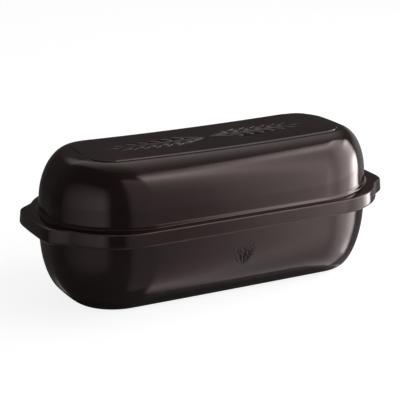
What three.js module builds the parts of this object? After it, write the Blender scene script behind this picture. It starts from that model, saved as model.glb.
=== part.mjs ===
// Covered loaf baker in glazed ceramic: a deep dish with a rim and two end grips, and a domed lid.
// Millimetres, +Z up, X along the loaf. The origin is on the table, under the middle of the dish.
import * as THREE from 'three';

// Plan that every level of the dish and the lid follows
const RIM_LENGTH = 265; // over the rim at mid-width, without the grips
const RIM_WIDTH = 132.4; // over the rim at mid-length
const RIM_BOW = 4.9; // how far each end of the rim swells at mid-width
const WALL_BOW = 9.4; // how far each end of the walls does
const SIDE_BOW = 0.9; // how far each long side swells at mid-length
const RIM_CORNER = 49; // corner radius of the rim
const WALL_CORNER = 54; // corner radius of the walls where they meet the rim
const CORNER_EASE = 1.45; // corner radius lost for each millimetre that a wall draws in

// Dish
const DISH_HEIGHT = 65; // from the table to the rim's top
const DISH_WALL = 7;
const DISH_FLOOR = 8;
const DISH_DRAFT = 0.092; // inset for each millimetre of depth
const BOTTOM_RUN = 18.6; // the rounding from wall to underside, measured inwards
const BOTTOM_RISE = 39.6; // and measured upwards
const RIM_HEIGHT = 10.2;
const RIM_OVERHANG = 7; // how far the rim stands out from the wall under it
const RIM_LEAN = 0.8; // how far the rim's outer face leans in towards its top
const RIM_TOP_EDGE = 2; // rounding of the rim's upper outer edge
const RIM_LOW_EDGE = 1; // rounding of its lower outer edge
const COVE = 1.5; // hollow rounding under the rim
const MOUTH_EDGE = 1.2; // rounding of the rim's inner edge
const FOOT_WIDTH = 9; // the flat ring that the dish stands on
const FOOT_RECESS = 1.2; // depth of the underside within that ring

// Grips at both ends of the rim
const GRIP_REACH = 7.5; // how far a grip stands out from the swollen end
const GRIP_TIP_WIDTH = 52; // the stretch that stands out fully
const GRIP_FLANK = 12; // the stretch over which each side of it falls back to the rim

// Lid
const LID_HEIGHT = 45; // from the rim's top to the ends of the top panel
const LID_WALL = 8;
const LID_CEILING = 7.5;
const LID_DRAFT = 0.074; // inset for each millimetre of height
const SHOULDER_RUN = 23.8; // the rounding from wall to top, measured inwards
const SHOULDER_RISE = 33.6; // and measured upwards
const PANEL_MARGIN = 0.8; // level strip between the shoulder and the raised panel
const PANEL_STEP = 1; // how far the panel stands up
const PANEL_EDGE = 1.4; // width of the panel's sloping edge
const TOP_DIP = 2.9; // how far the top sinks at mid-length
const BEAD_HEIGHT = 2.2; // rounded bead round the foot of the wall
const BEAD_REACH = 1; // how far it stands out from the wall
const BEAD_COVE = 3; // hollow rounding above the bead

// Where the lid sits on the dish
const SEAT = 7.3; // width of rim that the lid's foot covers
const LIP_DEPTH = 5; // locating lip that drops into the dish's mouth
const LIP_WALL = 3.6;
const LIP_CLEARANCE = 0.9; // between the lip and the mouth
const LIP_BLEND = 5; // height over which the lip's inner face meets the lid's wall

// Steps along curves
const CORNER_STEPS = 20;
const SIDE_STEPS = 6;
const END_STEPS = 4;
const ROUND_STEPS = 6;
const EDGE_STEPS = 2;

// Tightest corner that a level may have, and the largest as a share of its half-width
const MIN_CORNER = 5;
const ROUNDEST = 0.95;

// Share of the way to its corner at which a cubic curve's handle makes it follow a quarter ellipse
const ROUND_HANDLE = 0.5523;

// Points of a section nearer than this are one point
const SAME_POINT = 0.01;

// The plan's half-sizes at the rim's edge before its sides and ends swell
const HALF_LENGTH = RIM_LENGTH / 2 - RIM_BOW;
const HALF_WIDTH = RIM_WIDTH / 2 - SIDE_BOW;

// Where the rim's underside and the dish's mouth are, from which the lid takes its place too
const RIM_UNDERSIDE = DISH_HEIGHT - RIM_HEIGHT;
const MOUTH = RIM_OVERHANG + DISH_WALL;

// Half-section of a piece: points with an inset from the rim's edge, a height, and whether they are on the rim
class Section {
  constructor(inset, z) {
    this.points = [{ inset, z, onRim: false }];
  }

  get last() {
    return this.points[this.points.length - 1];
  }

  line(inset, z, onRim = false) {
    const step = Math.hypot(inset - this.last.inset, z - this.last.z);
    if (step > SAME_POINT) {
      this.points.push({ inset, z, onRim });
    }
    return this;
  }

  // Rounds from the last point to an end, touching both lines that meet at the corner
  round(corner, end, steps, onRim = false) {
    const from = new THREE.Vector2(this.last.inset, this.last.z);
    const via = new THREE.Vector2(...corner);
    const to = new THREE.Vector2(...end);
    const leave = from.clone().lerp(via, ROUND_HANDLE);
    const arrive = to.clone().lerp(via, ROUND_HANDLE);
    const curve = new THREE.CubicBezierCurve(from, leave, arrive, to);
    for (const point of curve.getPoints(steps).slice(1)) {
      this.line(point.x, point.y, onRim);
    }
    return this;
  }
}

// Corner radius of the plan at an inset
function cornerAt(inset, onRim) {
  const wanted = onRim ? RIM_CORNER - inset : WALL_CORNER - CORNER_EASE * (inset - RIM_OVERHANG);
  return Math.min(Math.max(wanted, MIN_CORNER), ROUNDEST * (HALF_WIDTH - inset));
}

// Points round a rounded rectangle, the same number at every size, starting at +X and turning left
function roundedRectangle(halfLength, halfWidth, corner) {
  const flatX = halfLength - corner;
  const flatY = halfWidth - corner;
  const quadrants = [[1, 1], [-1, 1], [-1, -1], [1, -1]];
  const points = [];
  quadrants.forEach(([signX, signY], quadrant) => {
    for (let step = 0; step <= CORNER_STEPS; step += 1) {
      const angle = (quadrant + step / CORNER_STEPS) * Math.PI / 2;
      const x = signX * flatX + corner * Math.cos(angle);
      const y = signY * flatY + corner * Math.sin(angle);
      points.push(new THREE.Vector2(x, y));
    }
    const alongSide = quadrant % 2 === 0;
    const steps = alongSide ? SIDE_STEPS : END_STEPS;
    const from = points[points.length - 1];
    const to = alongSide ? new THREE.Vector2(-from.x, from.y) : new THREE.Vector2(from.x, -from.y);
    for (let step = 1; step < steps; step += 1) {
      points.push(from.clone().lerp(to, step / steps));
    }
  });
  return points;
}

// A parabola that is 1 in the middle of a span and 0 at its ends and beyond
function crown(place, halfSpan) {
  const share = Math.min(Math.abs(place) / halfSpan, 1);
  return 1 - share * share;
}

// How far the rim's end is drawn out into a grip at a place across the dish
function gripAt(y) {
  const tip = GRIP_TIP_WIDTH / 2;
  return GRIP_REACH * (1 - THREE.MathUtils.smoothstep(Math.abs(y), tip, tip + GRIP_FLANK));
}

// One level of a piece: the swollen plan at its inset, with grips on the rim, lowered by the top's dip
function ringAt({ inset, z, onRim }, dip) {
  const halfLength = HALF_LENGTH - inset;
  const halfWidth = HALF_WIDTH - inset;
  return roundedRectangle(halfLength, halfWidth, cornerAt(inset, onRim)).map(({ x, y }) => {
    const bow = onRim ? RIM_BOW : WALL_BOW;
    const endSwell = bow * crown(y, HALF_WIDTH) * Math.abs(x) / halfLength;
    const sideSwell = SIDE_BOW * crown(x, HALF_LENGTH) * Math.abs(y) / halfWidth;
    const grip = onRim ? gripAt(y) : 0;
    const outX = x + Math.sign(x) * (endSwell + grip);
    const outY = y + Math.sign(y) * sideSwell;
    return new THREE.Vector3(outX, outY, z - dip * crown(x, HALF_LENGTH));
  });
}

// Closed skin through a section's levels, with both ends closed round a middle point
function sweep(section, dipAt) {
  const rings = section.points.map((point) => ringAt(point, dipAt(point.z)));
  const count = rings[0].length;
  const positions = rings.flat().flatMap((point) => point.toArray());
  const indices = [];
  for (let level = 0; level + 1 < rings.length; level += 1) {
    for (let i = 0; i < count; i += 1) {
      const here = level * count + i;
      const beside = level * count + (i + 1) % count;
      indices.push(here, beside, beside + count, here, beside + count, here + count);
    }
  }
  for (const [level, turned] of [[0, true], [rings.length - 1, false]]) {
    const { z } = section.points[level];
    const middle = positions.length / 3;
    positions.push(0, 0, z - dipAt(z));
    for (let i = 0; i < count; i += 1) {
      const here = level * count + i;
      const beside = level * count + (i + 1) % count;
      indices.push(middle, turned ? beside : here, turned ? here : beside);
    }
  }
  const geometry = new THREE.BufferGeometry();
  geometry.setAttribute('position', new THREE.Float32BufferAttribute(positions, 3));
  geometry.setIndex(indices);
  geometry.computeVertexNormals();
  return geometry;
}

// Dish: underside, foot ring, outer wall, rim with grips, mouth, inner wall, floor
function dishGeometry() {
  const wallAt = (z) => RIM_OVERHANG + DISH_DRAFT * (RIM_UNDERSIDE - z);
  const insideAt = (z) => wallAt(z) + DISH_WALL;
  const foot = wallAt(0) + BOTTOM_RUN;
  const recess = foot + FOOT_WIDTH;
  const cove = Math.min(COVE, RIM_OVERHANG / 2);
  const lowEdge = Math.min(RIM_LOW_EDGE, RIM_OVERHANG / 2, RIM_HEIGHT / 3);
  const topEdge = Math.min(RIM_TOP_EDGE, RIM_HEIGHT / 3);
  const rise = Math.min(BOTTOM_RISE, RIM_UNDERSIDE - cove);
  const floor = FOOT_RECESS + DISH_FLOOR;
  const insideRun = BOTTOM_RUN - DISH_WALL / 2;
  const insideTop = Math.min(floor + BOTTOM_RISE - DISH_FLOOR, RIM_UNDERSIDE);
  const section = new Section(recess + FOOT_RECESS, FOOT_RECESS)
    .line(recess, 0)
    .line(foot, 0)
    .round([wallAt(0), 0], [wallAt(rise), rise], ROUND_STEPS)
    .line(wallAt(RIM_UNDERSIDE - cove), RIM_UNDERSIDE - cove)
    .round([RIM_OVERHANG, RIM_UNDERSIDE], [RIM_OVERHANG - cove, RIM_UNDERSIDE], EDGE_STEPS)
    .line(lowEdge, RIM_UNDERSIDE, true)
    .round([0, RIM_UNDERSIDE], [0, RIM_UNDERSIDE + lowEdge], EDGE_STEPS, true)
    .line(RIM_LEAN, DISH_HEIGHT - topEdge, true)
    .round([RIM_LEAN, DISH_HEIGHT], [RIM_LEAN + topEdge, DISH_HEIGHT], EDGE_STEPS, true)
    .line(MOUTH - MOUTH_EDGE, DISH_HEIGHT)
    .round([MOUTH, DISH_HEIGHT], [MOUTH, DISH_HEIGHT - MOUTH_EDGE], EDGE_STEPS)
    .line(MOUTH, RIM_UNDERSIDE)
    .line(insideAt(insideTop), insideTop)
    .round([insideAt(floor), floor], [insideAt(floor) + insideRun, floor], ROUND_STEPS);
  return sweep(section, () => 0);
}

// Lid: ceiling, inner wall, lip, foot on the rim, bead, outer wall, shoulder, raised panel
function lidGeometry() {
  const bead = MOUTH - SEAT;
  const wallAt = (z) => bead + BEAD_REACH + LID_DRAFT * (z - DISH_HEIGHT);
  const insideAt = (z) => wallAt(z) + LID_WALL;
  const beadEdge = Math.min(BEAD_REACH, BEAD_HEIGHT / 2);
  const beadTop = DISH_HEIGHT + BEAD_HEIGHT;
  const coveTop = beadTop + BEAD_COVE;
  const top = DISH_HEIGHT + LID_HEIGHT;
  const shoulder = top - PANEL_STEP;
  const shoulderFoot = Math.max(shoulder - SHOULDER_RISE, coveTop);
  const panel = wallAt(shoulder) + SHOULDER_RUN + PANEL_MARGIN;
  const ceiling = shoulder - LID_CEILING;
  const blendTop = DISH_HEIGHT + LIP_BLEND;
  const insideRun = SHOULDER_RUN - LID_WALL / 2;
  const insideFoot = Math.max(shoulder - SHOULDER_RISE, blendTop);
  const lipOuter = MOUTH + LIP_CLEARANCE;
  const lipInner = lipOuter + LIP_WALL;
  const lipEnd = DISH_HEIGHT - LIP_DEPTH;
  const lipEdge = Math.min(LIP_WALL, LIP_DEPTH) / 3;
  const section = new Section(insideAt(ceiling) + insideRun, ceiling)
    .round([insideAt(ceiling), ceiling], [insideAt(insideFoot), insideFoot], ROUND_STEPS)
    .line(insideAt(blendTop), blendTop)
    .line(lipInner, DISH_HEIGHT)
    .line(lipInner, lipEnd + lipEdge)
    .round([lipInner, lipEnd], [lipInner - lipEdge, lipEnd], EDGE_STEPS)
    .line(lipOuter + lipEdge, lipEnd)
    .round([lipOuter, lipEnd], [lipOuter, lipEnd + lipEdge], EDGE_STEPS)
    .line(lipOuter, DISH_HEIGHT)
    .line(bead + beadEdge, DISH_HEIGHT)
    .round([bead, DISH_HEIGHT], [bead, DISH_HEIGHT + beadEdge], EDGE_STEPS)
    .line(bead, beadTop - beadEdge)
    .round([bead, beadTop], [bead + beadEdge / 2, beadTop], EDGE_STEPS)
    .round([wallAt(beadTop), beadTop], [wallAt(coveTop), coveTop], EDGE_STEPS)
    .line(wallAt(shoulderFoot), shoulderFoot)
    .round([wallAt(shoulder), shoulder], [wallAt(shoulder) + SHOULDER_RUN, shoulder], ROUND_STEPS)
    .line(panel, shoulder)
    .line(panel + PANEL_EDGE, top);
  const dipAt = (z) => TOP_DIP * Math.max(z - DISH_HEIGHT, 0) / LID_HEIGHT;
  return sweep(section, dipAt);
}

// Dark brown-black satin glaze, on both pieces
function glaze() {
  return new THREE.MeshStandardMaterial({ color: 0x1c1614, roughness: 0.28, metalness: 0 });
}

const loafBaker = new THREE.Group();
for (const [name, geometry] of [['base_dish', dishGeometry()], ['lid', lidGeometry()]]) {
  const piece = new THREE.Mesh(geometry, glaze());
  piece.name = name;
  loafBaker.add(piece);
}

export default loafBaker;
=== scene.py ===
"""Dresses a covered ceramic loaf baker: glazed dish, domed lid with a wheat relief, studio and camera.

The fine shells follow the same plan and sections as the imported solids, in metres, +Z up, X along the loaf.
"""
import math
from typing import NamedTuple

import bmesh
import bpy
from bpy.props import FloatProperty, FloatVectorProperty, IntProperty, PointerProperty
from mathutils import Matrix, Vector


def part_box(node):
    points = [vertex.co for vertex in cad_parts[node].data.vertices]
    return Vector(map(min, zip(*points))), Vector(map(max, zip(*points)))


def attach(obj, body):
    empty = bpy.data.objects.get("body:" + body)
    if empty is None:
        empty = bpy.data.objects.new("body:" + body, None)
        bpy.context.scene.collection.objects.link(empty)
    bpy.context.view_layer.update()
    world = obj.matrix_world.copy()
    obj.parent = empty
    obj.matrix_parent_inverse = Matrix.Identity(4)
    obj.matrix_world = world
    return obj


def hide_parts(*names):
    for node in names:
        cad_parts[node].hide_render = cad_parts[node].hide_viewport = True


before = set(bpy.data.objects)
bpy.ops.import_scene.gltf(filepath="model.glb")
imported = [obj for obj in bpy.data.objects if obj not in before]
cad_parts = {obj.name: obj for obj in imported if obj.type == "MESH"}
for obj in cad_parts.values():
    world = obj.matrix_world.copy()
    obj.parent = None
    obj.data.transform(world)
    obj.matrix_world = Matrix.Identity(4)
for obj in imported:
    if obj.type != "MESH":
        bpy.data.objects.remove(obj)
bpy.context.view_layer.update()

DISH_LOW, DISH_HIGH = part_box("base_dish")
GRIP_REACH = 0.0075
FEWEST_GRAINS = 4

bl_info = {
    "name": "Covered loaf baker",
    "version": (1, 0, 0),
    "blender": (4, 5, 0),
    "location": "View3D > Sidebar > Baker",
    "description": "Builds the dish, the lid, their reliefs and a small studio around a packed model",
    "category": "Object",
}


def size(name, description, default):
    """A length that a user may change."""
    return FloatProperty(name=name, description=description, default=default, unit="LENGTH", precision=5)


def share(name, description, default):
    """A plain number that a user may change."""
    return FloatProperty(name=name, description=description, default=default, precision=4)


def count(name, description, default):
    """A number of grains that a user may change."""
    return IntProperty(name=name, description=description, default=default, min=FEWEST_GRAINS)


def colour(name, description, default):
    """A linear colour that a user may change."""
    return FloatVectorProperty(
        name=name, description=description, default=default, subtype="COLOR", size=3, min=0, max=1
    )


def angle(name, description, degrees):
    """An angle that a user may change."""
    return FloatProperty(name=name, description=description, default=math.radians(degrees), subtype="ANGLE")


class PlanSizes(bpy.types.PropertyGroup):
    """The plan that every level of the dish and the lid follows."""

    rim_length: size(
        "Rim length", "Over the rim, without the grips", DISH_HIGH.x - DISH_LOW.x - 2 * GRIP_REACH
    )
    rim_width: size("Rim width", "Over the rim at mid-length", DISH_HIGH.y - DISH_LOW.y)
    rim_bow: size("Rim bow", "How far each end of the rim swells at mid-width", 0.0049)
    wall_bow: size("Wall bow", "How far each end of the walls swells there", 0.0094)
    side_bow: size("Side bow", "How far each long side swells at mid-length", 0.0009)
    rim_corner: size("Rim corner", "Corner radius of the rim", 0.049)
    wall_corner: size("Wall corner", "Corner radius of the walls where they meet the rim", 0.054)
    corner_ease: share("Corner ease", "Corner radius lost for each metre that a wall draws in", 1.45)
    grip_reach: size("Grip reach", "How far a grip stands out from the swollen end", GRIP_REACH)
    grip_tip: size("Grip tip", "The stretch of a grip that stands out fully", 0.052)
    grip_flank: size("Grip flank", "The stretch over which a grip's side falls back", 0.012)


class DishSizes(bpy.types.PropertyGroup):
    """The dish's section."""

    height: size("Height", "From the table to the rim's top", DISH_HIGH.z)
    wall: size("Wall", "Thickness of the wall", 0.007)
    floor: size("Floor", "Thickness of the floor", 0.008)
    draft: share("Draft", "Inset for each metre of depth", 0.092)
    bottom_run: size("Bottom run", "Rounding from wall to underside, measured inwards", 0.0186)
    bottom_rise: size("Bottom rise", "The same rounding, measured upwards", 0.0396)
    rim_height: size("Rim height", "Depth of the rim's outer face", 0.0109)
    rim_overhang: size("Rim overhang", "How far the rim stands out from the wall", 0.007)
    rim_lean: size("Rim lean", "How far the rim's face leans in towards its top", 0.0008)
    rim_slope_run: size("Rim slope run", "Sloped strip outside the lid, measured inwards", 0.0047)
    rim_slope_drop: size("Rim slope drop", "The same strip, measured downwards", 0.0005)
    rim_top_edge: size("Rim top edge", "Rounding of the two edges of that strip", 0.0012)
    rim_low_edge: size("Rim low edge", "Rounding of the rim's lower outer edge", 0.0018)
    cove: size("Cove", "Hollow rounding under the rim", 0.0015)
    mouth_edge: size("Mouth edge", "Rounding of the rim's inner edge", 0.0012)
    foot_width: size("Foot width", "Width of the flat ring that the dish stands on", 0.009)
    foot_recess: size("Foot recess", "Depth of the underside within that ring", 0.0012)
    foot_edge: size("Foot edge", "Rounding of the ring's two edges", 0.0006)


class LidSizes(bpy.types.PropertyGroup):
    """The lid's section, from its foot on the rim."""

    height: size("Height", "From the rim's top to the ends of the top panel", 0.04497)
    wall: size("Wall", "Thickness of the wall", 0.008)
    ceiling: size("Ceiling", "Thickness of the top", 0.0075)
    draft: share("Draft", "Inset for each metre of height", 0.074)
    shoulder_run: size("Shoulder run", "Rounding from wall to top, measured inwards", 0.0238)
    shoulder_rise: size("Shoulder rise", "The same rounding, measured upwards", 0.0336)
    panel_margin: size("Panel margin", "Level strip between the shoulder and the raised panel", 0.0008)
    panel_step: size("Panel step", "How far the panel stands up", 0.001)
    panel_edge: size("Panel edge", "Width of the panel's sloping edge", 0.0007)
    top_dip: size("Top dip", "How far the top sinks at mid-length", 0.0029)
    flange_reach: size("Flange reach", "How far the sloped flange round the foot stands out", 0.0019)
    flange_edge: size("Flange edge", "Height of the flange's outer edge", 0.0003)
    flange_rise: size("Flange rise", "How far the flange rises from that edge to the wall", 0.0017)
    flange_cove: size("Flange cove", "Hollow rounding where the flange meets the wall", 0.0004)
    seat: size("Seat", "Width of rim that the lid's foot covers", 0.0083)
    lip_depth: size("Lip depth", "Locating lip that drops into the dish's mouth", 0.005)
    lip_wall: size("Lip wall", "Thickness of that lip", 0.0036)
    lip_clearance: size("Lip clearance", "Gap between the lip and the mouth", 0.0009)
    lip_blend: size("Lip blend", "Height over which the lip's inner face meets the wall", 0.005)


class ReliefSizes(bpy.types.PropertyGroup):
    """The raised wheat ears on the lid's panel and on the dish's front."""

    grains: count("Grains", "Grains in one ear, along both of its sides", 13)
    stalk: size("Stalk", "Bare stalk from the middle of the lid to an ear's first grain", 0.012)
    pitch: size("Pitch", "From one grain to the next along an ear", 0.0049)
    grain_length: size("Grain length", "Length of an ear's largest grain", 0.0118)
    grain_width: size("Grain width", "Width of that grain", 0.0054)
    grain_height: size("Grain height", "How far that grain stands up", 0.00145)
    ear_end: size("Ear end", "From the middle of the lid to where an ear would lie flush", 0.0905)
    badge_grains: count("Badge grains", "Grains in an ear on the dish", 8)
    badge_pitch: size("Badge pitch", "From one grain to the next there, before its scale", 0.0052)
    badge_scale: share("Badge scale", "Size of the ears on the dish, as a share of the lid's", 0.31)
    badge_lift: share("Badge lift", "How far those ears stand up, as a share of the lid's", 0.62)
    badge_height: size("Badge height", "Height of their middle above the table", 0.0345)


class GlazeFinish(bpy.types.PropertyGroup):
    """Colours of the glaze and of the bare clay."""

    dark: colour("Dark", "Thick glaze", (0.0105, 0.0066, 0.0060))
    warm: colour("Warm", "Thinner glaze, in soft clouds", (0.0170, 0.0098, 0.0092))
    # Paler glaze colour: real in pits and in the clay's grain; on edges it is partly a painted highlight,
    # and on relief ridges a painted glint
    thin_and_glint: colour("Thin", "Glaze that breaks over an edge", (0.090, 0.060, 0.052))
    clay: colour("Clay", "Bare fired clay on the foot and the lid's seat", (0.36, 0.27, 0.20))


class StageSettings(bpy.types.PropertyGroup):
    """The camera."""

    azimuth: angle("Azimuth", "Camera's turn from straight in front, to the right", -27.797)
    elevation: angle("Elevation", "Camera's height above the level", 17.394)
    distance: size("Distance", "From the camera to the point it looks at", 1.088976)
    aim_side: size("Aim to the side", "Where it looks, along the picture", -0.004777)
    aim_height: size("Aim height", "Where it looks, above the table", 0.058643)
    lens: FloatProperty(
        name="Lens", description="Focal length, in mm on a 36 mm frame", default=131.60, unit="CAMERA"
    )


class BakerSettings(bpy.types.PropertyGroup):
    """Everything that the operators read."""

    plan: PointerProperty(type=PlanSizes)
    dish: PointerProperty(type=DishSizes)
    lid: PointerProperty(type=LidSizes)
    relief: PointerProperty(type=ReliefSizes)
    glaze: PointerProperty(type=GlazeFinish)
    stage: PointerProperty(type=StageSettings)


# Fineness of the shells
CORNER_STEPS = 60
SIDE_STEPS = 40
END_STEPS = 14
OUTSIDE_STEPS = 36
INSIDE_STEPS = 18
EDGE_STEPS = 7
CAP_STEPS = 16
LINE_STEP = 0.003

# Tightest corner that a level may have, and the largest as a share of its half-width
MIN_CORNER = 0.005
ROUNDEST = 0.95

# Share of the way to its corner at which a cubic curve's handle makes it follow a quarter ellipse
ROUND_HANDLE = 0.5523

# Points nearer than this are one point
SAME_POINT = 0.00001

# Rounding of a thin edge, as one part in so many of its width
EDGE_PARTS = 3

# Fineness of a grain, how much slimmer it is at its tip and at its base, and how deep it is sunk
GRAIN_SEGMENTS = 20
GRAIN_RINGS = 12
TIP_SLIMMER = 0.55
BASE_SLIMMER = 0.25
GRAIN_SUNK = 0.3

# Awn, stalk and leaf, as shares of the length, width and height of a grain
AWN_LENGTH = 0.9
AWN_WIDTH = 0.16
AWN_HEIGHT = 0.5
AWN_START = 0.75
STALK_WIDTH = 0.3
STALK_HEIGHT = 0.6
LEAF_LENGTH = 1.9
LEAF_WIDTH = 0.7
LEAF_HEIGHT = 0.55
LEAF_BEND = 0.35

# Where a leaf starts, as a share of the bare stalk
LEAF_START = 0.15

# How far a grain sits aside, as a share of its width, and how much smaller the last grain is
GRAIN_ASIDE = 0.55
EAR_TAPER = 0.42

# How far a grain and a leaf lean away from their stalk, and the outer ears of a fan from its middle one
GRAIN_LEAN = math.radians(26)
LEAF_LEAN = math.radians(14)
FAN_TURN = math.radians(27)

# Heights on a grain, as shares of its own, between which its ridge gets a painted glint
RIDGE_GLINT_STEP = (0.35, 0.95)

# Longest way from a flat ear down to the surface
LONGEST_FALL = 0.2

# Noise in the glaze, in patches for each metre
CLOUD_SCALE = 26.0
BREAK_SCALE = 120.0
PEEL_SCALE = 210.0
BORDER_SCALE = 420.0
CLAY_SCALE = 800.0
FINE_SCALE = 900.0
PIT_SCALE = 1500.0

# Levels between which clouds, pits, lighter edge breaks with their painted highlight, bare clay and its
# grain take hold
CLOUD_STEP = (0.35, 0.7)
PIT_STEP = (0.66, 0.74)
BREAK_AND_GLINT_STEP = (0.45, 1.1)
BARE_STEP = (0.45, 0.6)
CLAY_STEP = (0.3, 0.75)

# How unevenly the lighter edge break and its painted highlight fall, and how ragged the border of bare clay
# is
BREAK_LEAST = 0.55
BREAK_SWING = 0.9
BORDER_SWING = 0.35

# How much of the colour of thinner glaze shows on edges, where it is partly a painted highlight, in pits and
# in the grain of the clay
BREAK_AND_GLINT_SHARE = 0.8
PIT_SHARE = 0.2
CLAY_SHARE = 0.3

# Roughness of the glaze, what fine noise, clouds and edges add to it, and roughness of the clay
SATIN = 0.075
FINE_ROUGHER = 0.05
CLOUD_ROUGHER = 0.03
EDGE_ROUGHER = 0.04
CLAY_ROUGHNESS = 0.8

# Small bumps in the glaze and the clay
PEEL_RISE = 0.6
FINE_RISE = 0.25
PIT_DEPTH = 0.5
CLAY_RISE = 1.5
BUMP_STRENGTH = 0.06
BUMP_DEPTH = 0.0004

# The glaze's gloss
GLAZE_IOR = 1.6
GLOSS_TINT = (1.0, 0.82, 0.815, 1)


class Wire:
    """An output socket in a node tree, on which arithmetic adds Math nodes."""

    def __init__(self, tree, socket):
        self.tree = tree
        self.socket = socket

    def node(self, kind, settings=None, values=None, output=0):
        """Adds any node to the same tree."""
        return add_node(self.tree, kind, settings, values, output)

    def math(self, operation, *operands):
        return self.node("ShaderNodeMath", {"operation": operation}, dict(enumerate(operands)))

    def __add__(self, other):
        return self.math("ADD", self, other)

    __radd__ = __add__

    def __sub__(self, other):
        return self.math("SUBTRACT", self, other)

    def __rsub__(self, other):
        return self.math("SUBTRACT", other, self)

    def __mul__(self, other):
        return self.math("MULTIPLY", self, other)

    __rmul__ = __mul__

    def __truediv__(self, other):
        return self.math("DIVIDE", self, other)

    def __rtruediv__(self, other):
        return self.math("DIVIDE", other, self)

    def __abs__(self):
        return self.math("ABSOLUTE", self)

    def sign(self):
        return self.math("SIGN", self)

    def at_least(self, other):
        return self.math("MAXIMUM", self, other)

    def at_most(self, other):
        return self.math("MINIMUM", self, other)

    def smooth(self, start, end):
        """0 up to start, 1 from end on, and a smooth step between."""
        values = {"Value": self, "From Min": start, "From Max": end}
        return self.node("ShaderNodeMapRange", {"interpolation_type": "SMOOTHSTEP"}, values)

    def axis(self, index):
        """One part of a vector."""
        return self.node("ShaderNodeSeparateXYZ", None, {0: self}, index)

    def blend(self, first, second):
        """A colour between two, by this factor."""
        return self.node("ShaderNodeMix", {"data_type": "RGBA"}, {0: self, 6: first, 7: second}, 2)


def add_node(tree, kind, settings=None, values=None, output=0):
    """Adds a node: its settings first, then the values or links of its sockets."""
    node = tree.nodes.new(kind)
    for name, setting in (settings or {}).items():
        if name == "stops":
            set_stops(node.color_ramp.elements, setting)
        else:
            setattr(node, name, setting)
    for key, value in (values or {}).items():
        if isinstance(value, Wire):
            tree.links.new(value.socket, node.inputs[key])
        else:
            node.inputs[key].default_value = value
    return Wire(tree, node.outputs[output])


def set_stops(elements, stops):
    """Gives a colour ramp these places and colours."""
    while len(elements) < len(stops):
        elements.new(1.0)
    for element, (place, shade) in zip(elements, stops):
        element.position = place
        element.color = shade


def vector(x, y, z):
    """A vector made of three wires or numbers, at least one of them a wire."""
    wire = next(part for part in (x, y, z) if isinstance(part, Wire))
    return wire.node("ShaderNodeCombineXYZ", None, {0: x, 1: y, 2: z})


def vector_math(operation, first, second):
    """A Vector Math node on two vectors, the first of them a wire."""
    return first.node("ShaderNodeVectorMath", {"operation": operation}, {0: first, 1: second})


def scaled(wire, factor):
    """A vector times a number."""
    return wire.node("ShaderNodeVectorMath", {"operation": "SCALE"}, {0: wire, "Scale": factor})


def joined(*parts):
    """Several geometries as one."""
    join = parts[0].tree.nodes.new("GeometryNodeJoinGeometry")
    for part in parts:
        join.id_data.links.new(part.socket, join.inputs[0])
    return Wire(parts[0].tree, join.outputs[0])


def crown(place, half_span):
    """A parabola that is 1 in the middle of a span and 0 at its ends and beyond."""
    part = (abs(place) / half_span).at_most(1.0)
    return 1.0 - part * part


class GeometryTree:
    kinds = {"length": "NodeSocketFloat", "count": "NodeSocketInt", "vector": "NodeSocketVector",
             "flag": "NodeSocketBool", "object": "NodeSocketObject", "material": "NodeSocketMaterial"}

    def __init__(self, name, inputs):
        self.tree = bpy.data.node_groups.new(name, "GeometryNodeTree")
        for kind, names in inputs.items():
            for socket in names:
                self.tree.interface.new_socket(socket, in_out="INPUT", socket_type=self.kinds[kind])
        self.tree.interface.new_socket("Geometry", in_out="OUTPUT", socket_type="NodeSocketGeometry")
        self.entry = self.tree.nodes.new("NodeGroupInput")

    def __getitem__(self, name):
        return Wire(self.tree, self.entry.outputs[name])

    def node(self, kind, settings=None, values=None, output=0):
        return add_node(self.tree, kind, settings, values, output)

    def mark(self, name, data_type="FLOAT"):
        """A named attribute."""
        return self.node("GeometryNodeInputNamedAttribute", {"data_type": data_type}, {"Name": name})

    def finish(self, geometry, material):
        """Ends the tree in real, smooth faces of one material."""
        real = geometry.node("GeometryNodeRealizeInstances", None, {0: geometry})
        smooth = real.node("GeometryNodeSetShadeSmooth", None, {0: real})
        painted = real.node("GeometryNodeSetMaterial", None, {"Geometry": smooth, "Material": material})
        output = self.tree.nodes.new("NodeGroupOutput")
        self.tree.links.new(painted.socket, output.inputs[0])
        return self.tree


def grown(name, tree, values):
    """A new object with the plain mesh that a Geometry Nodes tree makes from these values."""
    piece = bpy.data.objects.new(name, bpy.data.meshes.new(name))
    bpy.context.scene.collection.objects.link(piece)
    modifier = piece.modifiers.new(name, "NODES")
    modifier.node_group = tree
    for item in tree.interface.items_tree:
        if item.in_out == "INPUT":
            modifier[item.identifier] = values[item.name]
    graph = bpy.context.evaluated_depsgraph_get()
    mesh = bpy.data.meshes.new_from_object(
        piece.evaluated_get(graph), preserve_all_data_layers=True, depsgraph=graph
    )
    piece.modifiers.clear()
    piece.data = mesh
    if not mesh.polygons:
        raise RuntimeError(f"{name} has no faces")
    shell = bmesh.new()
    shell.from_mesh(mesh)
    bmesh.ops.remove_doubles(shell, verts=shell.verts, dist=SAME_POINT)
    bmesh.ops.recalc_face_normals(shell, faces=shell.faces)
    shell.to_mesh(mesh)
    shell.free()
    return piece


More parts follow.
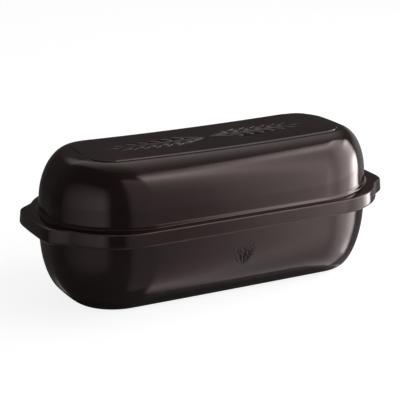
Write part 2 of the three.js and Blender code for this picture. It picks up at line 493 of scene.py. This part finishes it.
class Section:
    """Half-section of a piece, as levels that each follow the plan at an inset from the rim's edge."""

    # The edge mark paints roundings lighter: partly glaze break, partly a painted highlight
    marks = ("inset", "height", "on_rim", "shrink", "edge", "bare")

    def __init__(self, inset, height):
        self.levels = []
        for step in range(CAP_STEPS):
            self.levels.append((inset, height, 0.0, step / CAP_STEPS, 0.0, 0.0))
        self.levels.append((inset, height, 0.0, 1.0, 0.0, 0.0))

    def line(self, inset, height, on_rim=0.0, edge=0.0, bare=0.0):
        """Straight on to a point, in short steps."""
        start = self.levels[-1]
        end = (inset, height, on_rim, 1.0, edge, bare)
        reach = math.hypot(inset - start[0], height - start[1])
        if reach > SAME_POINT:
            steps = math.ceil(reach / LINE_STEP)
            for step in range(1, steps + 1):
                self.levels.append(mixed(start, end, step / steps))
        return self

    def round(self, corner, end, steps, on_rim=0.0, edge=0.0, bare=0.0):
        """Round to an end, touching both lines that meet at the corner. The edge mark, a lighter break that
        is partly a painted highlight, is strongest midway.
        """
        start = Vector(self.levels[-1][:2])
        leave = start.lerp(Vector(corner), ROUND_HANDLE)
        arrive = Vector(end).lerp(Vector(corner), ROUND_HANDLE)
        for step in range(1, steps + 1):
            t = step / steps
            point = bezier(start, leave, arrive, Vector(end), t)
            self.levels.append((*point, on_rim, 1.0, edge * math.sin(math.pi * t), bare))
        return self

    def close(self):
        """On to the middle of the last level."""
        inset, height = self.levels[-1][:2]
        for step in range(1, CAP_STEPS + 1):
            self.levels.append((inset, height, 0.0, 1 - step / CAP_STEPS, 0.0, 0.0))
        return self


def mixed(start, end, t):
    """Level between two levels."""
    return tuple(a + (b - a) * t for a, b in zip(start, end))


def bezier(start, leave, arrive, end, t):
    """Point of a cubic curve."""
    s = 1 - t
    return start * s**3 + leave * (3 * s * s * t) + arrive * (3 * s * t * t) + end * t**3


def marked_path(name, places, marks, closed):
    """An object whose mesh is a chain of edges, with a value or vector at each point under each mark."""
    total = len(places)
    edges = [(i, (i + 1) % total) for i in range(total if closed else total - 1)]
    mesh = bpy.data.meshes.new(name)
    mesh.from_pydata(places, edges, [])
    for mark, values in marks.items():
        is_vector = isinstance(values[0], tuple)
        attribute = mesh.attributes.new(mark, "FLOAT_VECTOR" if is_vector else "FLOAT", "POINT")
        for item, value in zip(attribute.data, values):
            if is_vector:
                item.vector = value
            else:
                item.value = value
    path = bpy.data.objects.new(name, mesh)
    bpy.context.scene.collection.objects.link(path)
    return path


def station_path():
    """Stations round a rounded rectangle, each with its place on the flats and its turn round a corner."""
    flats = []
    turns = []
    quadrants = ((1, 1), (-1, 1), (-1, -1), (1, -1))
    for quadrant, (sign_x, sign_y) in enumerate(quadrants):
        for step in range(CORNER_STEPS + 1):
            turned = (quadrant + step / CORNER_STEPS) * math.pi / 2
            flats.append((sign_x, sign_y, 0.0))
            turns.append((math.cos(turned), math.sin(turned), 0.0))
        along_side = quadrant % 2 == 0
        steps = SIDE_STEPS if along_side else END_STEPS
        for step in range(1, steps):
            slide = 1 - 2 * step / steps
            flats.append((sign_x * slide, sign_y, 0.0) if along_side else (sign_x, sign_y * slide, 0.0))
            turns.append(turns[-1])
    places = [Vector(flat) + Vector(turn) for flat, turn in zip(flats, turns)]
    return marked_path("stations", places, {"flat": flats, "turn": turns}, closed=True)


def section_path(section):
    """The chain of a section's levels, with their marks."""
    places = [(index * LINE_STEP, 0.0, 0.0) for index in range(len(section.levels))]
    marks = dict(zip(Section.marks, zip(*section.levels)))
    return marked_path("section", places, marks, closed=False)


def sweep_tree():
    """Geometry Nodes that carry a section round the plan, with swollen sides, grips and a dipped top."""
    inputs = {
        "object": ("Section", "Stations"),
        "length": (
            "Half length", "Half width", "Rim bow", "Wall bow", "Side bow", "Rim corner", "Wall corner",
            "Corner ease", "Rim overhang", "Grip reach", "Grip tip", "Grip flank", "Top dip", "Dip from",
            "Dip height",
        ),
        "material": ("Glaze",),
    }
    tree = GeometryTree("swept shell", inputs)
    curves = []
    for name in ("Stations", "Section"):
        chain = tree.node("GeometryNodeObjectInfo", None, {"Object": tree[name]}, "Geometry")
        curves.append(chain.node("GeometryNodeMeshToCurve", None, {0: chain}))
    skin = tree.node("GeometryNodeCurveToMesh", None, {"Curve": curves[0], "Profile Curve": curves[1]})

    inset = tree.mark("inset")
    height = tree.mark("height")
    on_rim = tree.mark("on_rim")
    shrink = tree.mark("shrink")
    flat = tree.mark("flat", "FLOAT_VECTOR")
    turn = tree.mark("turn", "FLOAT_VECTOR")
    half_length = tree["Half length"] - inset
    half_width = tree["Half width"] - inset
    on_wall = tree["Wall corner"] - tree["Corner ease"] * (inset - tree["Rim overhang"])
    wanted = on_wall + on_rim * (tree["Rim corner"] - inset - on_wall)
    corner = wanted.at_least(MIN_CORNER).at_most(ROUNDEST * half_width)
    x = (flat.axis(0) * (half_length - corner) + turn.axis(0) * corner) * shrink
    y = (flat.axis(1) * (half_width - corner) + turn.axis(1) * corner) * shrink
    bow = tree["Wall bow"] + on_rim * (tree["Rim bow"] - tree["Wall bow"])
    end_swell = x * bow * crown(y, tree["Half width"]) / half_length
    side_swell = y * tree["Side bow"] * crown(x, tree["Half length"]) / half_width
    tip = tree["Grip tip"] / 2
    drawn_out = 1.0 - abs(y).smooth(tip, tip + tree["Grip flank"])
    grip = x.sign() * on_rim * tree["Grip reach"] * drawn_out
    dip_share = (height - tree["Dip from"]).at_least(0.0) / tree["Dip height"]
    dip = tree["Top dip"] * dip_share * crown(x, tree["Half length"])
    place = vector(x + end_swell + grip, y + side_swell, height - dip)
    shell = tree.node("GeometryNodeSetPosition", None, {"Geometry": skin, "Position": place})
    return tree.finish(shell, tree["Glaze"])


def swept(name, section, settings, material):
    """A shell: a section carried round the plan."""
    plan = settings.plan
    chains = {"Section": section_path(section), "Stations": station_path()}
    values = {
        "Half length": plan.rim_length / 2 - plan.rim_bow,
        "Half width": plan.rim_width / 2 - plan.side_bow,
        "Rim bow": plan.rim_bow,
        "Wall bow": plan.wall_bow,
        "Side bow": plan.side_bow,
        "Rim corner": plan.rim_corner,
        "Wall corner": plan.wall_corner,
        "Corner ease": plan.corner_ease,
        "Rim overhang": settings.dish.rim_overhang,
        "Grip reach": plan.grip_reach,
        "Grip tip": plan.grip_tip,
        "Grip flank": plan.grip_flank,
        "Top dip": settings.lid.top_dip,
        "Dip from": settings.dish.height,
        "Dip height": settings.lid.height,
        "Glaze": material,
    }
    shell = grown(name, sweep_tree(), {**chains, **values})
    for chain in chains.values():
        bpy.data.objects.remove(chain)
    return shell


def dish_section(dish):
    """Underside, foot ring, outer wall, rim with grips, mouth, inner wall, floor."""
    underside = dish.height - dish.rim_height

    def wall_at(z):
        return dish.rim_overhang + dish.draft * (underside - z)

    def inside_at(z):
        return wall_at(z) + dish.wall

    foot = wall_at(0) + dish.bottom_run
    recess = foot + dish.foot_width
    edge = dish.foot_edge
    cove = dish.cove
    low = dish.rim_low_edge
    top = dish.rim_top_edge
    lean = dish.rim_lean
    slope_foot = Vector((lean, dish.height - dish.rim_slope_drop))
    slope_head = Vector((lean + dish.rim_slope_run, dish.height))
    strip = (slope_head - slope_foot).normalized()
    mouth = dish.rim_overhang + dish.wall
    rise = dish.bottom_rise
    floor = dish.foot_recess + dish.floor
    inside_top = floor + dish.bottom_rise - dish.floor
    inside_run = dish.bottom_run - dish.wall / 2
    return (
        Section(recess + dish.foot_recess, dish.foot_recess)
        .line(recess + edge, edge)
        .round((recess, 0), (recess - edge, 0), EDGE_STEPS, bare=1)
        .line(foot + edge, 0, bare=1)
        .round((wall_at(0), 0), (wall_at(rise), rise), OUTSIDE_STEPS)
        .line(wall_at(underside - cove), underside - cove)
        .round((dish.rim_overhang, underside), (dish.rim_overhang - cove, underside), EDGE_STEPS)
        .line(low, underside, on_rim=1)
        # The rim's lower edge is marked for a painted highlight line
        .round((0, underside), (0, underside + low), EDGE_STEPS, on_rim=1, edge=1)
        .line(lean, slope_foot[1] - top, on_rim=1)
        .round(slope_foot, slope_foot + strip * top, EDGE_STEPS, on_rim=1, edge=1)
        .line(*(slope_head - strip * top), on_rim=1)
        .round(slope_head, (slope_head[0] + top, dish.height), EDGE_STEPS, on_rim=1)
        .line(mouth - dish.mouth_edge, dish.height)
        .round((mouth, dish.height), (mouth, dish.height - dish.mouth_edge), EDGE_STEPS, edge=1)
        .line(mouth, underside)
        .line(inside_at(inside_top), inside_top)
        .round((inside_at(floor), floor), (inside_at(floor) + inside_run, floor), INSIDE_STEPS)
        .close()
    )


def lid_section(lid, dish):
    """Ceiling, inner wall, lip, foot on the rim, sloped flange, outer wall, shoulder, raised panel."""
    base = dish.height
    mouth = dish.rim_overhang + dish.wall
    flange = mouth - lid.seat

    def wall_at(z):
        return flange + lid.flange_reach + lid.draft * (z - base)

    def inside_at(z):
        return wall_at(z) + lid.wall

    foot_edge = lid.flange_edge / EDGE_PARTS
    flange_foot = Vector((flange, base + lid.flange_edge))
    flange_head = base + lid.flange_edge + lid.flange_rise
    flange_end = Vector((wall_at(flange_head), flange_head))
    slant = (flange_end - flange_foot).normalized()
    cove_top = flange_head + lid.flange_cove
    top = base + lid.height
    shoulder = top - lid.panel_step
    shoulder_foot = shoulder - lid.shoulder_rise
    shoulder_end = wall_at(shoulder) + lid.shoulder_run
    panel = shoulder_end + lid.panel_margin
    panel_rim = panel + lid.panel_edge
    panel_soft = lid.panel_edge / EDGE_PARTS
    slope = lid.panel_step / lid.panel_edge * panel_soft
    ceiling = shoulder - lid.ceiling
    blend_top = base + lid.lip_blend
    inside_run = lid.shoulder_run - lid.wall / 2
    lip_outer = mouth + lid.lip_clearance
    lip_inner = lip_outer + lid.lip_wall
    lip_end = base - lid.lip_depth
    lip_edge = lid.lip_wall / EDGE_PARTS
    return (
        Section(inside_at(ceiling) + inside_run, ceiling)
        .round((inside_at(ceiling), ceiling), (inside_at(shoulder_foot), shoulder_foot), INSIDE_STEPS)
        .line(inside_at(blend_top), blend_top)
        .line(lip_inner, base)
        .line(lip_inner, lip_end + lip_edge)
        .round((lip_inner, lip_end), (lip_inner - lip_edge, lip_end), EDGE_STEPS, edge=1)
        .line(lip_outer + lip_edge, lip_end)
        .round((lip_outer, lip_end), (lip_outer, lip_end + lip_edge), EDGE_STEPS, edge=1)
        .line(lip_outer, base - SAME_POINT * 2, bare=1)
        .line(lip_outer, base, bare=1)
        .line(flange + foot_edge, base, bare=1)
        .round((flange, base), (flange, base + foot_edge), EDGE_STEPS)
        .round(flange_foot, flange_foot + slant * lid.flange_edge, EDGE_STEPS, edge=1)
        .line(*(flange_end - slant * lid.flange_cove))
        .round(flange_end, (wall_at(cove_top), cove_top), EDGE_STEPS)
        .line(wall_at(shoulder_foot), shoulder_foot)
        .round((wall_at(shoulder), shoulder), (shoulder_end, shoulder), OUTSIDE_STEPS)
        .line(panel - panel_soft, shoulder)
        .round((panel, shoulder), (panel + panel_soft, shoulder + slope), EDGE_STEPS)
        .line(panel_rim - panel_soft, top - slope)
        .round((panel_rim, top), (panel_rim + panel_soft, top), EDGE_STEPS, edge=1)
        .close()
    )


def cleared(owner):
    """The node tree of a material, a lamp or a world, emptied."""
    owner.use_nodes = True
    owner.node_tree.nodes.clear()
    return owner.node_tree


def end_in(kind, shader):
    """Ends a shader's tree in an output node of this kind."""
    output = shader.tree.nodes.new(kind)
    shader.tree.links.new(shader.socket, output.inputs["Surface"])


def glaze_material(name, glaze):
    """Satin-gloss brown-black glaze with clouds and pits, which breaks lighter over edges, partly as a
    painted highlight, and leaves clay bare.
    """
    material = bpy.data.materials.new(name)
    place = add_node(cleared(material), "ShaderNodeTexCoord", None, None, "Object")

    def noise(scale, detail, roughness=0.5):
        values = {"Vector": place, "Scale": scale, "Detail": detail, "Roughness": roughness}
        return place.node("ShaderNodeTexNoise", None, values)

    def mark(attribute):
        return place.node("ShaderNodeAttribute", {"attribute_name": attribute}, None, "Fac")

    clouds = noise(CLOUD_SCALE, detail=3).smooth(*CLOUD_STEP)
    fine = noise(FINE_SCALE, detail=2)
    peel = noise(PEEL_SCALE, detail=2)
    pits = noise(PIT_SCALE, detail=1).smooth(*PIT_STEP)
    uneven = BREAK_LEAST + BREAK_SWING * noise(BREAK_SCALE, detail=3)
    # Lighter break on marked edges and relief ridges: partly glaze break, partly painted highlight and glint
    edge = (mark("edge") * uneven).smooth(*BREAK_AND_GLINT_STEP)
    ragged = BORDER_SWING * (noise(BORDER_SCALE, detail=3) - 0.5)
    bare = (mark("bare") + ragged).smooth(*BARE_STEP)

    body = clouds.blend((*glaze.dark, 1), (*glaze.warm, 1))
    # Paints the paler colour on edges, partly as a painted highlight
    broken_and_glinting = (edge * BREAK_AND_GLINT_SHARE).blend(body, (*glaze.thin_and_glint, 1))
    specked = (pits * PIT_SHARE).blend(broken_and_glinting, (*glaze.thin_and_glint, 1))
    clay_grain = noise(CLAY_SCALE, detail=3, roughness=0.7).smooth(*CLAY_STEP)
    clay = (CLAY_SHARE * clay_grain).blend((*glaze.clay, 1), (*glaze.thin_and_glint, 1))
    surface = bare.blend(specked, clay)

    satin = SATIN + FINE_ROUGHER * fine + CLOUD_ROUGHER * clouds + EDGE_ROUGHER * edge
    roughness = satin + bare * (CLAY_ROUGHNESS - satin)
    relief = peel * PEEL_RISE + fine * FINE_RISE - pits * PIT_DEPTH + bare * clay_grain * CLAY_RISE
    bump = {"Strength": BUMP_STRENGTH, "Distance": BUMP_DEPTH, "Height": relief}
    finish = {
        "Base Color": surface,
        "Roughness": roughness,
        "IOR": GLAZE_IOR,
        "Specular Tint": GLOSS_TINT,
        "Normal": place.node("ShaderNodeBump", None, bump),
    }
    end_in("ShaderNodeOutputMaterial", place.node("ShaderNodeBsdfPrincipled", None, finish))
    return material


def seed(tree, length, width, height, bend=0.0):
    """A pointed, swollen form that lies along X from its base: a grain, or with a bend a leaf."""
    fineness = {"Segments": GRAIN_SEGMENTS, "Rings": GRAIN_RINGS, "Radius": 1.0}
    ball = tree.node("GeometryNodeMeshUVSphere", None, fineness)
    place = tree.node("GeometryNodeInputPosition")
    along = place.axis(0)
    to_tip = along.at_least(0.0)
    to_base = (0.0 - along).at_least(0.0)
    girth = 1.0 - TIP_SLIMMER * (to_tip * to_tip) - BASE_SLIMMER * to_base
    reach = (along + 1.0) / 2
    x = reach * length
    y = place.axis(1) * girth * width / 2 + reach * reach * bend
    z = place.axis(2).at_least(-GRAIN_SUNK) * height
    return ball.node("GeometryNodeSetPosition", None, {"Geometry": ball, "Position": vector(x, y, z)})


def moved(geometry, place=(0.0, 0.0, 0.0), turn=0.0):
    """A geometry that is turned about Z and moved."""
    values = {"Geometry": geometry, "Translation": place, "Rotation": (0.0, 0.0, turn)}
    return geometry.node("GeometryNodeTransform", None, values)


def relief_tree():
    """Geometry Nodes that set grains along a stalk, with awns and leaves, and lay ears on a surface."""
    inputs = {
        "object": ("Surface",),
        "vector": ("Place", "Along", "Across"),
        "count": ("Grains",),
        "length": (
            "Stalk", "Pitch", "Grain length", "Grain width", "Grain height", "Ear end", "Spread", "Lift",
        ),
        "flag": ("Twin",),
        "material": ("Glaze",),
    }
    tree = GeometryTree("wheat ear relief", inputs)
    length = tree["Grain length"]
    width = tree["Grain width"]
    height = tree["Grain height"]

    # Grain with its awn
    grain = seed(tree, length, width, height)
    awn = seed(tree, AWN_LENGTH * length, AWN_WIDTH * width, AWN_HEIGHT * height)
    spikelet = joined(grain, moved(awn, vector(AWN_START * length, 0.0, 0.0)))

    # Grains on alternate sides of the stalk, smaller towards the tip, with one at the very tip
    index = tree.node("GeometryNodeInputIndex")
    last = tree["Grains"] - 1.0
    along = index / last
    at_tip = index.math("COMPARE", index, last, 0.5)
    side = (1.0 - 2.0 * index.math("MODULO", index, 2.0)) * (1.0 - at_tip)
    start = vector(tree["Stalk"], 0.0, 0.0)
    step = vector(tree["Pitch"], 0.0, 0.0)
    line = {"Count": tree["Grains"], "Start Location": start, "Offset": step}
    row = tree.node("GeometryNodeMeshLine", None, line)
    aside = vector(0.0, side * GRAIN_ASIDE * width, 0.0)
    spread_row = row.node("GeometryNodeSetPosition", None, {"Geometry": row, "Offset": aside})
    turn = vector(0.0, 0.0, side * GRAIN_LEAN)
    taper = 1.0 - EAR_TAPER * along
    scale = vector(taper, taper, taper)
    places = {"Points": spread_row, "Instance": spikelet, "Rotation": turn, "Scale": scale}
    grains = row.node("GeometryNodeInstanceOnPoints", None, places)

    # Stalk under the grains, and a leaf on each side of it
    ear = tree["Stalk"] + tree["Pitch"] * last
    stalk = seed(tree, ear, STALK_WIDTH * width, STALK_HEIGHT * height)
    parts = [grains.node("GeometryNodeRealizeInstances", None, {0: grains}), stalk]
    leaf_foot = vector(LEAF_START * tree["Stalk"], 0.0, 0.0)
    for hand in (1, -1):
        bend = hand * LEAF_BEND * length
        leaf = seed(tree, LEAF_LENGTH * length, LEAF_WIDTH * width, LEAF_HEIGHT * height, bend)
        parts.append(moved(leaf, leaf_foot, hand * LEAF_LEAN))

    # Two ears foot to foot, or three in a fan
    half = joined(*parts)
    pair = joined(half, moved(half, turn=math.pi))
    fan = joined(half, moved(half, turn=FAN_TURN), moved(half, turn=-FAN_TURN))
    flat = tree.node("GeometryNodeSwitch", {"input_type": "GEOMETRY"}, {0: tree["Twin"], 1: fan, 2: pair})

    # Lay the flat ear on the surface: each point goes straight on to it, and stands up by its own height
    place = tree.node("GeometryNodeInputPosition")
    u = scaled(tree["Along"], place.axis(0) * tree["Spread"])
    v = scaled(tree["Across"], place.axis(1) * tree["Spread"])
    above = vector_math("ADD", vector_math("ADD", tree["Place"], u), v)
    down = vector_math("CROSS_PRODUCT", tree["Across"], tree["Along"])
    # Painted glint: grain ridges get the edge mark, which paints them lighter
    ridge_glint = {"Geometry": flat, "Name": "edge", "Value": (place.axis(2) / height).smooth(*RIDGE_GLINT_STEP)}
    marked = flat.node("GeometryNodeStoreNamedAttribute", {"data_type": "FLOAT"}, ridge_glint)
    shell = tree.node("GeometryNodeObjectInfo", None, {"Object": tree["Surface"]}, "Geometry")
    ray = {"Source Position": above, "Ray Direction": down, "Ray Length": LONGEST_FALL}
    hit = tree.node("GeometryNodeRaycast", None, {"Target Geometry": shell, **ray}, "Hit Position")
    normal = Wire(tree.tree, hit.socket.node.outputs["Hit Normal"])
    rise = scaled(normal, place.axis(2) * tree["Lift"] * crown(place.axis(0), tree["Ear end"]))
    raised = vector_math("ADD", hit, rise)
    laid = flat.node("GeometryNodeSetPosition", None, {"Geometry": marked, "Position": raised})
    return tree.finish(laid, tree["Glaze"])


def finished(piece, body, slot, *nodes):
    """Rides a piece on its body and lets it stand for CAD nodes; its slot is not used."""
    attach(piece, body)
    if nodes:
        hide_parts(*nodes)


class LOAFBAKER_OT_make_dish(bpy.types.Operator):
    """Makes the glazed dish with its rim, grips and bare foot"""

    bl_idname = "loaf_baker.make_dish"
    bl_label = "Dish"

    def execute(self, context):
        settings = context.scene.loaf_baker
        material = glaze_material("dish_glaze", settings.glaze)
        dish = swept("dish", dish_section(settings.dish), settings, material)
        finished(dish, "dish", "dish_glaze", "base_dish")
        return {"FINISHED"}


class LOAFBAKER_OT_make_lid(bpy.types.Operator):
    """Makes the domed lid with its flange, lip and raised panel"""

    bl_idname = "loaf_baker.make_lid"
    bl_label = "Lid"

    def execute(self, context):
        settings = context.scene.loaf_baker
        material = glaze_material("lid_glaze", settings.glaze)
        lid = swept("lid_shell", lid_section(settings.lid, settings.dish), settings, material)
        finished(lid, "cover", "lid_glaze", "lid")
        return {"FINISHED"}


class LOAFBAKER_OT_make_reliefs(bpy.types.Operator):
    """Lays a pair of wheat ears on the lid's panel and a small fan of ears on the dish's front"""

    bl_idname = "loaf_baker.make_reliefs"
    bl_label = "Reliefs"

    def execute(self, context):
        settings = context.scene.loaf_baker
        relief = settings.relief
        ear = {
            "Grains": relief.grains,
            "Stalk": relief.stalk,
            "Pitch": relief.pitch,
            "Grain length": relief.grain_length,
            "Grain width": relief.grain_width,
            "Grain height": relief.grain_height,
            "Ear end": relief.ear_end,
        }
        tree = relief_tree()
        over_lid = settings.dish.height + 2 * settings.lid.height
        on_lid = grown("lid_relief", tree, {
            **ear,
            "Surface": bpy.data.objects["lid_shell"],
            "Place": (0.0, 0.0, over_lid),
            "Along": (1.0, 0.0, 0.0),
            "Across": (0.0, 1.0, 0.0),
            "Spread": 1.0,
            "Lift": 1.0,
            "Twin": True,
            "Glaze": bpy.data.materials["lid_glaze"],
        })
        finished(on_lid, "cover", "lid_glaze")

        ear_length = relief.stalk + relief.badge_pitch * (relief.badge_grains - 1) + relief.grain_length
        foot = relief.badge_height - relief.badge_scale * ear_length / 2
        on_dish = grown("dish_relief", tree, {
            **ear,
            "Grains": relief.badge_grains,
            "Pitch": relief.badge_pitch,
            "Surface": bpy.data.objects["dish"],
            "Place": (0.0, -settings.plan.rim_width, foot),
            "Along": (0.0, 0.0, 1.0),
            "Across": (-1.0, 0.0, 0.0),
            "Spread": relief.badge_scale,
            "Lift": relief.badge_lift,
            "Twin": False,
            "Glaze": bpy.data.materials["dish_glaze"],
        })
        finished(on_dish, "dish", "dish_glaze")
        return {"FINISHED"}


class Sheet(NamedTuple):
    """A lamp that stands on the floor between two azimuths, in degrees from +X towards +Y.

    Its stops give the share of its glow at places from 0 to 1, across it as the azimuth rises and up it.
    """

    name: str
    azimuths: tuple
    distance: float
    top: float
    glow: float
    across: tuple
    up: tuple


SHEETS = (
    Sheet(
        "right_sheet", azimuths=(-75, 3), distance=0.7, top=1.5, glow=2.2,
        across=(
            (0.0, 0.0), (0.08, 0.03), (0.145, 0.18), (0.18, 0.31), (0.2, 0.40), (0.228, 0.52), (0.25, 0.58),
            (0.27, 0.68), (0.294, 0.9), (0.32, 1.0), (0.36, 0.95), (0.4, 0.8), (0.5, 0.66), (0.58, 0.88),
            (0.7, 1.15), (0.8, 1.25), (1.0, 0.95),
        ),
        up=(
            (0.0, 1.08), (0.165, 1.04), (0.27, 0.96), (0.41, 0.86), (0.51, 0.88), (0.62, 1.1), (0.7, 1.45),
            (0.76, 1.25), (0.81, 0.95), (0.87, 0.7), (0.93, 0.4), (1.0, 0.1),
        ),
    ),
    Sheet(
        "key", azimuths=(-15, 5), distance=0.65, top=0.42, glow=8.0,
        across=((0.0, 0.0), (0.1, 0.2), (0.3, 0.4), (0.5, 0.9), (0.6, 1.0), (0.96, 1.0), (1.0, 0.6)),
        up=(
            (0.0, 1.0), (0.18, 1.0), (0.27, 0.7), (0.36, 0.22), (0.6, 0.18), (0.8, 0.45), (0.92, 0.45),
            (1.0, 0.1),
        ),
    ),
    Sheet(
        "front_sheet", azimuths=(-110, -60), distance=0.9, top=1.3, glow=0.6,
        across=((0.0, 0.05), (0.12, 0.9), (0.2, 1.0), (0.69, 1.0), (1.0, 0.0)),
        up=((0.0, 0.5), (0.35, 0.55), (0.65, 0.65), (0.8, 0.85), (1.0, 0.9)),
    ),
    Sheet(
        "left_sheet", azimuths=(-195, -130), distance=0.9, top=0.58, glow=0.62,
        across=((0.0, 0.1), (0.6, 0.8), (0.85, 1.0), (1.0, 0.2)),
        up=((0.0, 1.0), (0.4, 0.9), (0.8, 0.4), (1.0, 0.03)),
    ),
    Sheet(
        "side_sheet", azimuths=(10, 46), distance=1.1, top=0.3, glow=0.35,
        across=((0.0, 0.1), (0.15, 1.0), (0.85, 1.0), (1.0, 0.1)),
        up=((0.0, 1.0), (0.5, 0.9), (1.0, 0.2)),
    ),
)

# Lamp overhead, with stops along X and along Y
OVER_PLACE = (0.9, 0.95, 1.3)
OVER_EXTENT = (2.8, 2.6)
OVER_GLOW = 0.5
OVER_ACROSS = ((0.0, 0.05), (0.18, 0.2), (0.32, 0.62), (0.42, 0.95), (0.5, 1.05), (0.9, 1.0), (1.0, 0.1))
OVER_UP = ((0.0, 0.7), (0.06, 1.0), (0.65, 1.0), (0.85, 0.4), (1.0, 0.05))

# Tint of every lamp, the dim room behind them, and the white that the camera sees
LAMP_TINT = (1.0, 0.955, 0.95)
ROOM_SHADE = (0.077, 0.067, 0.066, 1)
WHITE = (1, 1, 1, 1)

# Floor: its size, its shade and glow to the camera, and its dull body and polish in the glaze's reflections
FLOOR_SIZE = 8
FLOOR_SHADE = 0.35
FLOOR_GLOW = 0.86
FLOOR_BODY = 0.5
FLOOR_POLISH = 0.85
FLOOR_ROUGHNESS = 0.08
LEAST_POLISH = 0.35


def grey(shade):
    """A grey colour."""
    return (shade, shade, shade, 1)


def lamp_sheet(name, place, facing, extent, glow, across, up):
    """Puts up a rectangular lamp that faces against a direction, with stops across it and up it."""
    width, height = extent
    lamp = bpy.data.lights.new(name, "AREA")
    lamp.shape = "RECTANGLE"
    lamp.size = width
    lamp.size_y = height
    lamp.energy = math.pi * width * height * glow
    lamp.color = LAMP_TINT
    spot = add_node(cleared(lamp), "ShaderNodeNewGeometry", None, None, "Parametric")
    shares = []
    for axis, stops in enumerate((across, up)):
        greys = [(step, grey(shade)) for step, shade in stops]
        shares.append(spot.node("ShaderNodeValToRGB", {"stops": greys}, {0: spot.axis(axis)}))
    light = spot.node("ShaderNodeEmission", None, {"Color": shares[0], "Strength": shares[1]})
    end_in("ShaderNodeOutputLight", light)
    sheet = bpy.data.objects.new(name, lamp)
    sheet.location = place
    sheet.rotation_euler = Vector(facing).to_track_quat("Z", "Y").to_euler()
    sheet.visible_camera = False
    bpy.context.scene.collection.objects.link(sheet)


def standing_sheet(sheet):
    """Puts up a lamp that stands on the floor."""
    first, last = (math.radians(degrees) for degrees in sheet.azimuths)
    middle = (first + last) / 2
    out = Vector((math.cos(middle), math.sin(middle), 0))
    width = 2 * sheet.distance * math.tan((last - first) / 2)
    place = out * sheet.distance + Vector((0, 0, sheet.top / 2))
    lamp_sheet(sheet.name, place, out, (width, sheet.top), sheet.glow, sheet.across, sheet.up)


def floor_material():
    """White with a shadow to the camera. In the glaze's reflections, a dull body under a polish."""
    material = bpy.data.materials.new("floor_white")
    seen = add_node(cleared(material), "ShaderNodeLightPath", None, None, "Is Camera Ray")
    mirrored = Wire(seen.tree, seen.socket.node.outputs["Is Glossy Ray"])
    shaded = seen.node("ShaderNodeBsdfDiffuse", None, {"Color": grey(FLOOR_SHADE)})
    glow = seen.node("ShaderNodeEmission", None, {"Color": WHITE, "Strength": FLOOR_GLOW})
    lit = seen.node("ShaderNodeAddShader", None, {0: shaded, 1: glow})
    grazing = seen.node("ShaderNodeLayerWeight", None, {"Blend": 0.5}, "Facing")
    body = seen.node("ShaderNodeBsdfDiffuse", None, {"Color": grey(FLOOR_BODY)})
    gloss = {"Color": grey(FLOOR_POLISH), "Roughness": FLOOR_ROUGHNESS}
    polish = seen.node("ShaderNodeBsdfAnisotropic", None, gloss)
    polished = mirrored * (LEAST_POLISH + (1 - LEAST_POLISH) * grazing)
    unseen = seen.node("ShaderNodeMixShader", None, {0: polished, 1: body, 2: polish})
    end_in("ShaderNodeOutputMaterial", seen.node("ShaderNodeMixShader", None, {0: seen, 1: unseen, 2: lit}))
    return material


def room_world():
    """White to the camera, and a dim room to everything else."""
    world = bpy.data.worlds.new("studio")
    seen = add_node(cleared(world), "ShaderNodeLightPath", None, None, "Is Camera Ray")
    shade = seen.blend(ROOM_SHADE, WHITE)
    light = seen.node("ShaderNodeBackground", None, {"Color": shade, "Strength": 1.0})
    end_in("ShaderNodeOutputWorld", light)
    return world


def place_camera(scene, stage):
    """Sets up the camera, which looks at a point above the table."""
    turn = stage.azimuth
    right = Vector((math.cos(turn), math.sin(turn), 0))
    level = math.cos(stage.elevation)
    back = Vector((math.sin(turn) * level, -math.cos(turn) * level, math.sin(stage.elevation)))
    lens = bpy.data.cameras.new("camera")
    lens.lens = stage.lens
    camera = bpy.data.objects.new("camera", lens)
    camera.location = right * stage.aim_side + Vector((0, 0, stage.aim_height)) + back * stage.distance
    camera.rotation_euler = back.to_track_quat("Z", "Y").to_euler()
    scene.collection.objects.link(camera)
    scene.camera = camera


class LOAFBAKER_OT_make_stage(bpy.types.Operator):
    """Makes the camera, the floor, the lamps and the world"""

    bl_idname = "loaf_baker.make_stage"
    bl_label = "Stage"

    def execute(self, context):
        scene = context.scene
        scene.view_settings.view_transform = "Standard"
        place_camera(scene, scene.loaf_baker.stage)

        bpy.ops.mesh.primitive_plane_add(size=FLOOR_SIZE)
        floor = context.object
        floor.name = "floor"
        floor.data.materials.append(floor_material())

        for sheet in SHEETS:
            standing_sheet(sheet)
        lamp_sheet("overhead", OVER_PLACE, (0, 0, 1), OVER_EXTENT, OVER_GLOW, OVER_ACROSS, OVER_UP)
        scene.world = room_world()
        return {"FINISHED"}


MAKERS = (LOAFBAKER_OT_make_dish, LOAFBAKER_OT_make_lid, LOAFBAKER_OT_make_reliefs, LOAFBAKER_OT_make_stage)


class LOAFBAKER_PT_panel(bpy.types.Panel):
    """Lists the makers in the sidebar"""

    bl_label = "Covered loaf baker"
    bl_space_type = "VIEW_3D"
    bl_region_type = "UI"
    bl_category = "Baker"

    def draw(self, context):
        for maker in MAKERS:
            self.layout.operator(maker.bl_idname)


CLASSES = (
    PlanSizes, DishSizes, LidSizes, ReliefSizes, GlazeFinish, StageSettings, BakerSettings,
    *MAKERS, LOAFBAKER_PT_panel,
)


def register():
    for cls in CLASSES:
        bpy.utils.register_class(cls)
    bpy.types.Scene.loaf_baker = PointerProperty(type=BakerSettings)


def unregister():
    del bpy.types.Scene.loaf_baker
    for cls in reversed(CLASSES):
        bpy.utils.unregister_class(cls)


def main():
    register()
    bpy.ops.loaf_baker.make_dish()
    bpy.ops.loaf_baker.make_lid()
    bpy.ops.loaf_baker.make_reliefs()
    bpy.ops.loaf_baker.make_stage()


if __name__ == "__main__":
    main()
